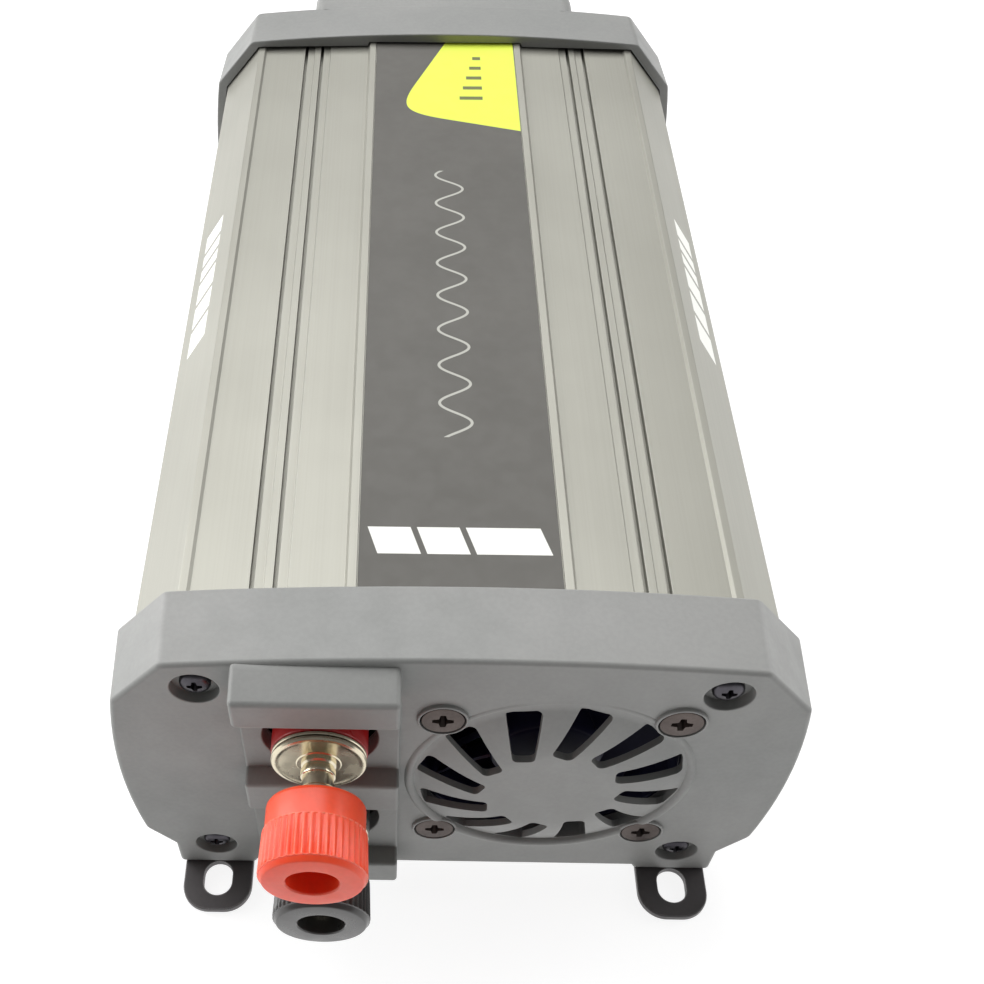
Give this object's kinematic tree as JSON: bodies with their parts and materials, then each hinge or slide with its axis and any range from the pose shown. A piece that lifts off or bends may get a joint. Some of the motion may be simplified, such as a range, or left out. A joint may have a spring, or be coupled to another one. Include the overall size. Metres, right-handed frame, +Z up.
{
  "type": "power inverter",
  "caption": "Small DC to AC power inverter: ribbed aluminium housing between two moulded end caps, with binding posts and a cooling fan at one end and a mains outlet at the other.",
  "frame": {"origin": "middle of the footprint, on the surface that the mounting brackets rest on", "axes": "+X to the right as seen from the DC end, +Y from the DC end to the AC end, +Z up"},
  "size_m": [0.123, 0.246, 0.0759],
  "materials": {
    "cap_plastic": "satin moulded",
    "housing_metal": "anodised",
    "label_film": "satin film",
    "bracket_steel": "black satin",
    "screw_steel": "plated",
    "dark_screw_steel": "dark plated",
    "fan_plastic": "satin",
    "red_plastic": "satin",
    "black_plastic": "satin",
    "nickel": "polished nickel",
    "brass": "turned",
    "board_laminate": "solder mask",
    "ferrite": "sintered",
    "winding": "taped",
    "capacitor_can": "sleeved",
    "copper": "enamelled",
    "socket_plastic": "satin",
    "fuse_plastic": "clear",
    "green_lens": "clear"
  },
  "bodies": {
    "case": {"ac_socket": "socket_plastic", "black_insulator": "black_plastic", "black_lead": "black_plastic", "black_stud": "nickel", "black_stud_nut": "nickel", "bus_capacitor": "capacitor_can", "circuit_board": "board_laminate", "earth_strap": "nickel", "fan_frame": "fan_plastic", "fan_lead": "black_plastic", "fan_screw_1": "dark_screw_steel", "fan_screw_2": "dark_screw_steel", "fan_screw_3": "dark_screw_steel", "fan_screw_4": "dark_screw_steel", "fault_indicator": "fuse_plastic", "front_bracket_left": "bracket_steel", "front_bracket_right": "bracket_steel", "front_cap": "cap_plastic", "front_screw_bottom_left": "screw_steel", "front_screw_bottom_right": "screw_steel", "front_screw_top_left": "screw_steel", "front_screw_top_right": "screw_steel", "fuse": "fuse_plastic", "heat_sink_left": "housing_metal", "heat_sink_right": "housing_metal", "housing": "housing_metal", "input_capacitor_1": "capacitor_can", "input_capacitor_2": "capacitor_can", "input_capacitor_3": "capacitor_can", "live_contact": "brass", "live_lead": "red_plastic", "neutral_contact": "brass", "neutral_lead": "black_plastic", "output_choke": "copper", "power_indicator": "green_lens", "rear_bracket_left": "bracket_steel", "rear_bracket_right": "bracket_steel", "rear_cap": "cap_plastic", "rear_screw_bottom_left": "screw_steel", "rear_screw_bottom_right": "screw_steel", "rear_screw_top_left": "screw_steel", "rear_screw_top_right": "screw_steel", "red_insulator": "red_plastic", "red_lead": "red_plastic", "red_stud": "nickel", "red_stud_nut": "nickel", "switch_body": "socket_plastic", "top_label": "label_film", "transformer_core": "ferrite", "transformer_winding": "winding", "transistor_left_1": "ferrite", "transistor_left_2": "ferrite", "transistor_right_1": "ferrite", "transistor_right_2": "ferrite"},
    "red_insert": {"red_knob_insert": "nickel"},
    "red_knob": {"red_knob": "red_plastic"},
    "black_insert": {"black_knob_insert": "nickel"},
    "black_knob": {"black_knob": "black_plastic"},
    "fan": {"fan_rotor": "fan_plastic"},
    "rocker": {"switch_rocker": "red_plastic"}
  },
  "joints": [
    {"name": "red_knob_travel", "type": "slide", "parent": "case", "child": "red_insert", "axis": [0, -1, 0], "range_m": [-0.00501, 0.00301]},
    {"name": "red_knob_turn", "type": "hinge", "parent": "red_insert", "child": "red_knob", "pos_m": [-0.0235, -0.11555, 0.0534], "axis": [0, -1, 0], "range_deg": [-1800, 1080]},
    {"name": "black_knob_travel", "type": "slide", "parent": "case", "child": "black_insert", "axis": [0, -1, 0], "range_m": [0, 0.00801]},
    {"name": "black_knob_turn", "type": "hinge", "parent": "black_insert", "child": "black_knob", "pos_m": [-0.0235, -0.11055, 0.0242], "axis": [0, -1, 0], "range_deg": [0, 2880]},
    {"name": "fan_spin", "type": "hinge", "parent": "case", "child": "fan", "pos_m": [0.01735, -0.08655, 0.0391], "axis": [0, 1, 0], "continuous": true},
    {"name": "power_switch", "type": "hinge", "parent": "case", "child": "rocker", "pos_m": [-0.0462, 0.11265, 0.042], "axis": [1, 0, 0], "range_deg": [0, 22]}
  ],
  "couplings": [
    {"joint": "red_knob_travel", "follows": "red_knob_turn", "m_per_rad": 0.00015915},
    {"joint": "black_knob_travel", "follows": "black_knob_turn", "m_per_rad": 0.00015915}
  ]
}
